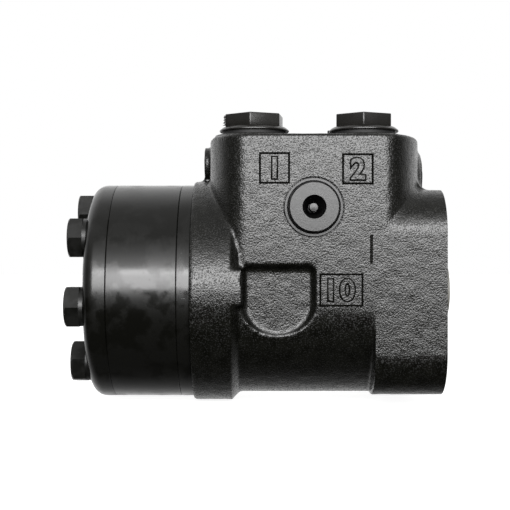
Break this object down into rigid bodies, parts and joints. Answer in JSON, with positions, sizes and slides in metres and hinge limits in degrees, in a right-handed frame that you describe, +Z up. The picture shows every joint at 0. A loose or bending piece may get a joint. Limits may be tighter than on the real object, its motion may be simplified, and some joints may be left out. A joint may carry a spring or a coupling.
{
  "type": "orbital steering unit",
  "caption": "Orbital steering unit: cast housing with port block and square mounting flange, spool set and cardan shaft, bolted gerotor gear set and end cover.",
  "frame": {"origin": "centre of the square mounting face, on the spool axis", "axes": "+X out of the mounting face towards the steering column, +Z up to the port face, the load sensing port is on the -Y side"},
  "size_m": [0.1715, 0.103, 0.1297],
  "materials": {
    "cast_black": "gloss black paint on rough casting",
    "machined_black": "smooth gloss black paint",
    "bolt_black": "satin black",
    "washer": "painted over",
    "plug_black": "moulded satin",
    "plug_grey": "moulded, worn gloss",
    "cap_plastic": "moulded",
    "seal_rubber": "matt",
    "steel_ground": "ground",
    "spring_steel": "blued"
  },
  "bodies": {
    "housing": {"housing": "cast_black", "distributor_plate": "machined_black", "gerotor_ring": "machined_black", "end_cover": "machined_black", "cover_bolts": "bolt_black", "cover_washers": "washer", "housing_o_ring": "seal_rubber", "plate_o_ring": "seal_rubber", "ring_o_ring": "seal_rubber", "bearing_outer_race": "steel_ground", "dust_seal": "seal_rubber", "shaft_seal": "seal_rubber", "port_plug_seals": "seal_rubber", "ls_plug": "plug_grey", "check_seat_bush": "steel_ground", "check_ball_stop": "steel_ground", "relief_plug": "bolt_black", "relief_plug_seal": "seal_rubber", "relief_screw": "steel_ground", "relief_spring": "spring_steel", "suction_pins": "steel_ground", "gallery_plug": "steel_ground", "right_port_plug": "plug_black", "left_port_plug": "plug_black", "tank_port_plug": "plug_black", "pump_port_plug": "plug_black", "near_shock_spring": "spring_steel", "far_shock_spring": "spring_steel", "near_shock_screw": "bolt_black", "far_shock_screw": "bolt_black"},
    "sleeve": {"sleeve": "steel_ground", "cross_pin": "steel_ground", "flat_springs": "spring_steel", "arched_springs": "spring_steel", "spring_ring": "steel_ground", "bearing_inner_race": "steel_ground"},
    "needle_cage": {"needle_cage": "steel_ground", "bearing_needles": "steel_ground"},
    "spool": {"spool": "steel_ground"},
    "spacer": {"spacer": "steel_ground"},
    "gerotor_star": {"gerotor_star": "steel_ground"},
    "cardan_shaft": {"cardan_shaft": "steel_ground"},
    "check_ball": {"check_ball": "steel_ground"},
    "lower_suction_ball": {"lower_suction_ball": "steel_ground"},
    "upper_suction_ball": {"upper_suction_ball": "steel_ground"},
    "near_shock_ball": {"near_shock_ball": "steel_ground"},
    "far_shock_ball": {"far_shock_ball": "steel_ground"},
    "relief_poppet": {"relief_poppet": "steel_ground"},
    "spline_cap": {"spline_cap": "cap_plastic"}
  },
  "joints": [
    {"name": "sleeve_turn", "type": "hinge", "parent": "housing", "child": "sleeve", "pos_m": [-0.06, 0, 0], "axis": [1, 0, 0], "continuous": true},
    {"name": "spool_deflection", "type": "hinge", "parent": "sleeve", "child": "spool", "pos_m": [-0.06, 0, 0], "axis": [1, 0, 0], "range_deg": [-8, 8], "stiffness_Nm_per_rad": 2, "deforming": ["flat_springs", "arched_springs"]},
    {"name": "needle_cage_turn", "type": "hinge", "parent": "housing", "child": "needle_cage", "pos_m": [-0.0195, 0, 0], "axis": [1, 0, 0], "continuous": true},
    {"name": "rotor_orbit", "type": "hinge", "parent": "housing", "child": "spacer", "pos_m": [-0.1427, 0, 0], "axis": [1, 0, 0], "continuous": true},
    {"name": "rotor_spin", "type": "hinge", "parent": "spacer", "child": "gerotor_star", "pos_m": [-0.1307, 0.00019, 0.00319], "axis": [1, 0, 0], "continuous": true},
    {"name": "cardan_spin", "type": "hinge", "parent": "spacer", "child": "cardan_shaft", "pos_m": [-0.044, 0, 0], "axis": [0.9993, -0.0022, -0.0368], "continuous": true},
    {"name": "check_ball_lift", "type": "slide", "parent": "housing", "child": "check_ball", "axis": [0, 0, 1], "range_m": [0, 0.002]},
    {"name": "lower_suction_lift", "type": "slide", "parent": "housing", "child": "lower_suction_ball", "axis": [-1, 0, 0], "range_m": [0, 0.0015]},
    {"name": "upper_suction_lift", "type": "slide", "parent": "housing", "child": "upper_suction_ball", "axis": [-1, 0, 0], "range_m": [0, 0.0015]},
    {"name": "near_shock_lift", "type": "slide", "parent": "housing", "child": "near_shock_ball", "axis": [0, 0, 1], "range_m": [0, 0.001], "stiffness_N_per_m": 400, "springref_m": -0.001, "deforming": ["near_shock_spring"]},
    {"name": "far_shock_lift", "type": "slide", "parent": "housing", "child": "far_shock_ball", "axis": [0, 0, 1], "range_m": [0, 0.001], "stiffness_N_per_m": 400, "springref_m": -0.001, "deforming": ["far_shock_spring"]},
    {"name": "relief_lift", "type": "slide", "parent": "housing", "child": "relief_poppet", "axis": [1, 0, 0], "range_m": [0, 0.0015], "stiffness_N_per_m": 400, "springref_m": -0.001, "deforming": ["relief_spring"]},
    {"name": "cap_pull_off", "type": "slide", "parent": "spool", "child": "spline_cap", "axis": [1, 0, 0], "range_m": [0, 0.03]}
  ],
  "couplings": [
    {"joint": "needle_cage_turn", "follows": "sleeve_turn", "ratio": 0.5},
    {"joint": "rotor_orbit", "follows": "sleeve_turn", "ratio": -6},
    {"joint": "rotor_spin", "follows": "sleeve_turn", "ratio": 7},
    {"joint": "cardan_spin", "follows": "sleeve_turn", "ratio": 7}
  ]
}
